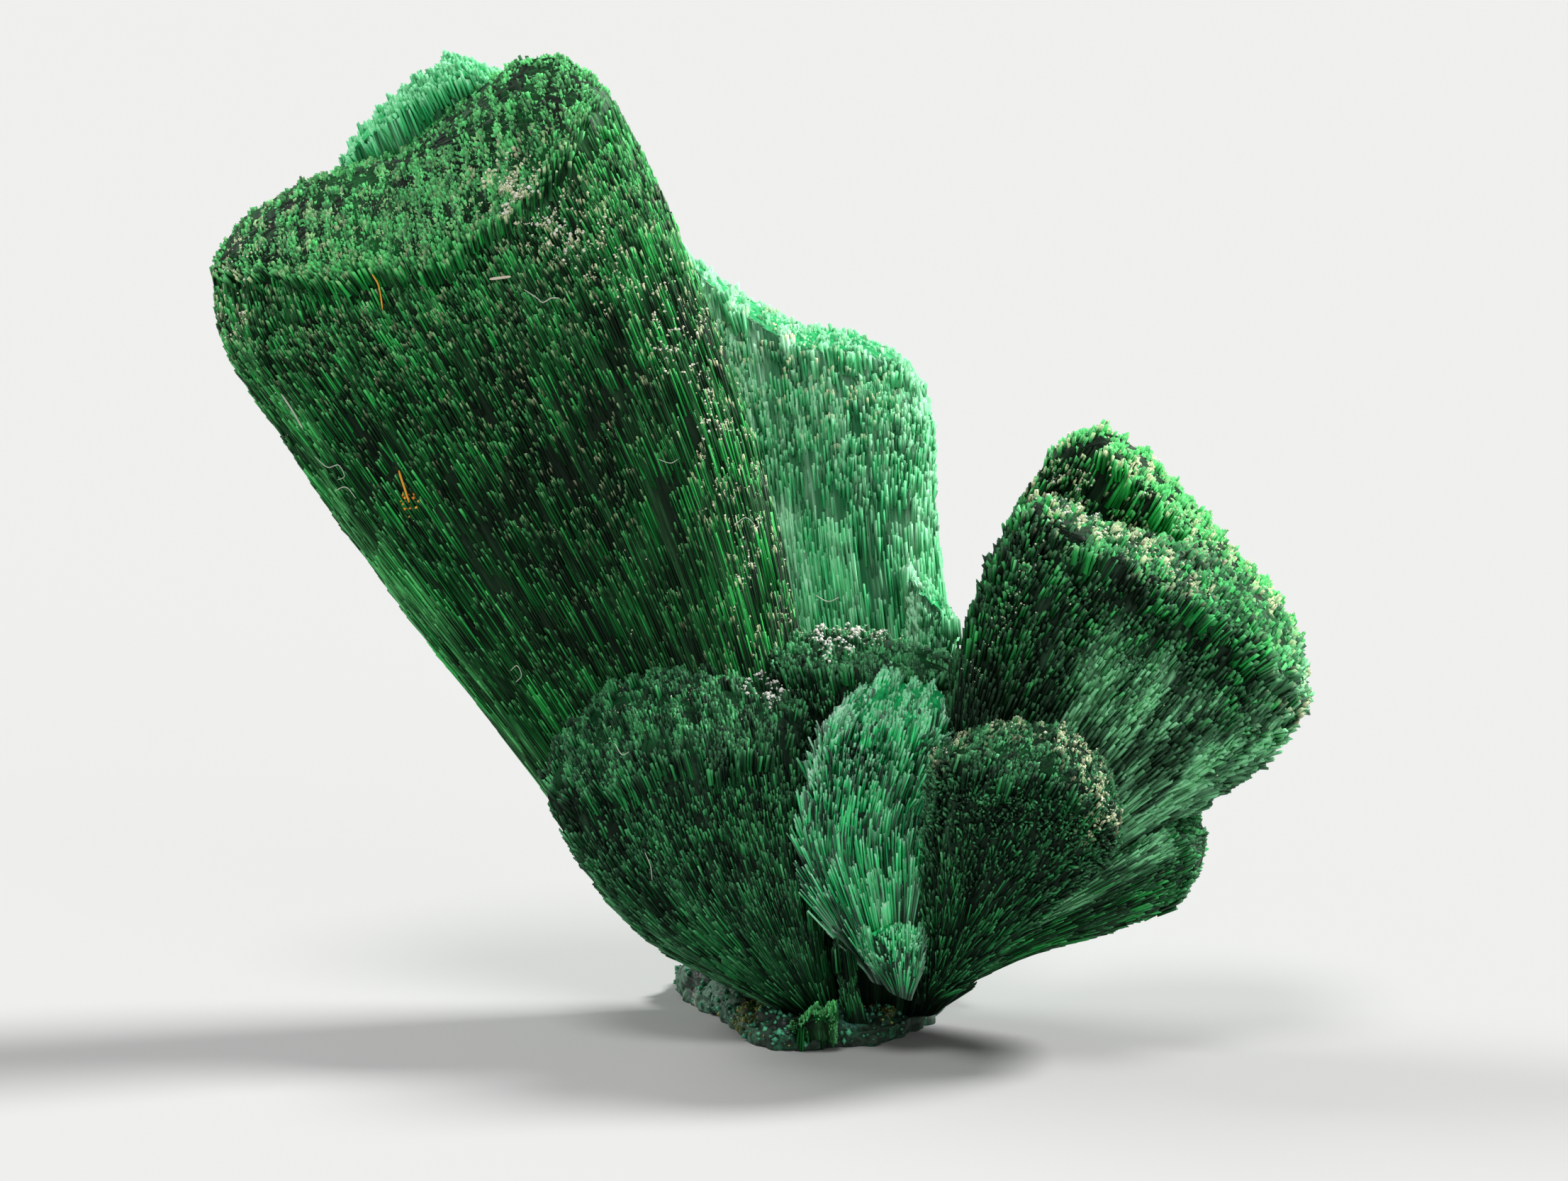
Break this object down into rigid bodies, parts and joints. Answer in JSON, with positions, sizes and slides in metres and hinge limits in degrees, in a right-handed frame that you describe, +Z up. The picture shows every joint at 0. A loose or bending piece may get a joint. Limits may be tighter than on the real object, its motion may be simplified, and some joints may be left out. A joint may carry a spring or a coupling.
{
  "type": "fibrous malachite specimen",
  "caption": "Green malachite specimen: sheaves of fine needle crystals fan up from a small dark matrix foot, one tall and leaning left, others short or leaning right.",
  "frame": {"origin": "in the flat cut under the matrix foot, below the roots of the sheaves", "axes": "+Z up from the cut, +X to the right as the specimen is looked at, along its widest spread, +Y away from the viewer"},
  "size_m": [0.0776, 0.0335, 0.0693],
  "materials": {
    "malachite_dark": "silky, deep green needles",
    "malachite_pale": "silky, mint green needles",
    "matrix_rock": "rough dark rock with green stains",
    "dust": "dry cream dust, lint and splinters"
  },
  "bodies": {
    "root": {"main_sheaf": "malachite_dark", "rear_sheaf": "malachite_pale", "lower_left_sheaf": "malachite_dark", "notch_sheaf": "malachite_dark", "centre_fan": "malachite_pale", "right_sheaf": "malachite_dark", "front_right_lobe": "malachite_dark", "lower_right_sheaf": "malachite_dark", "fibre_stub": "malachite_dark", "base_shard": "malachite_pale", "matrix_foot": "matrix_rock"}
  },
  "joints": []
}
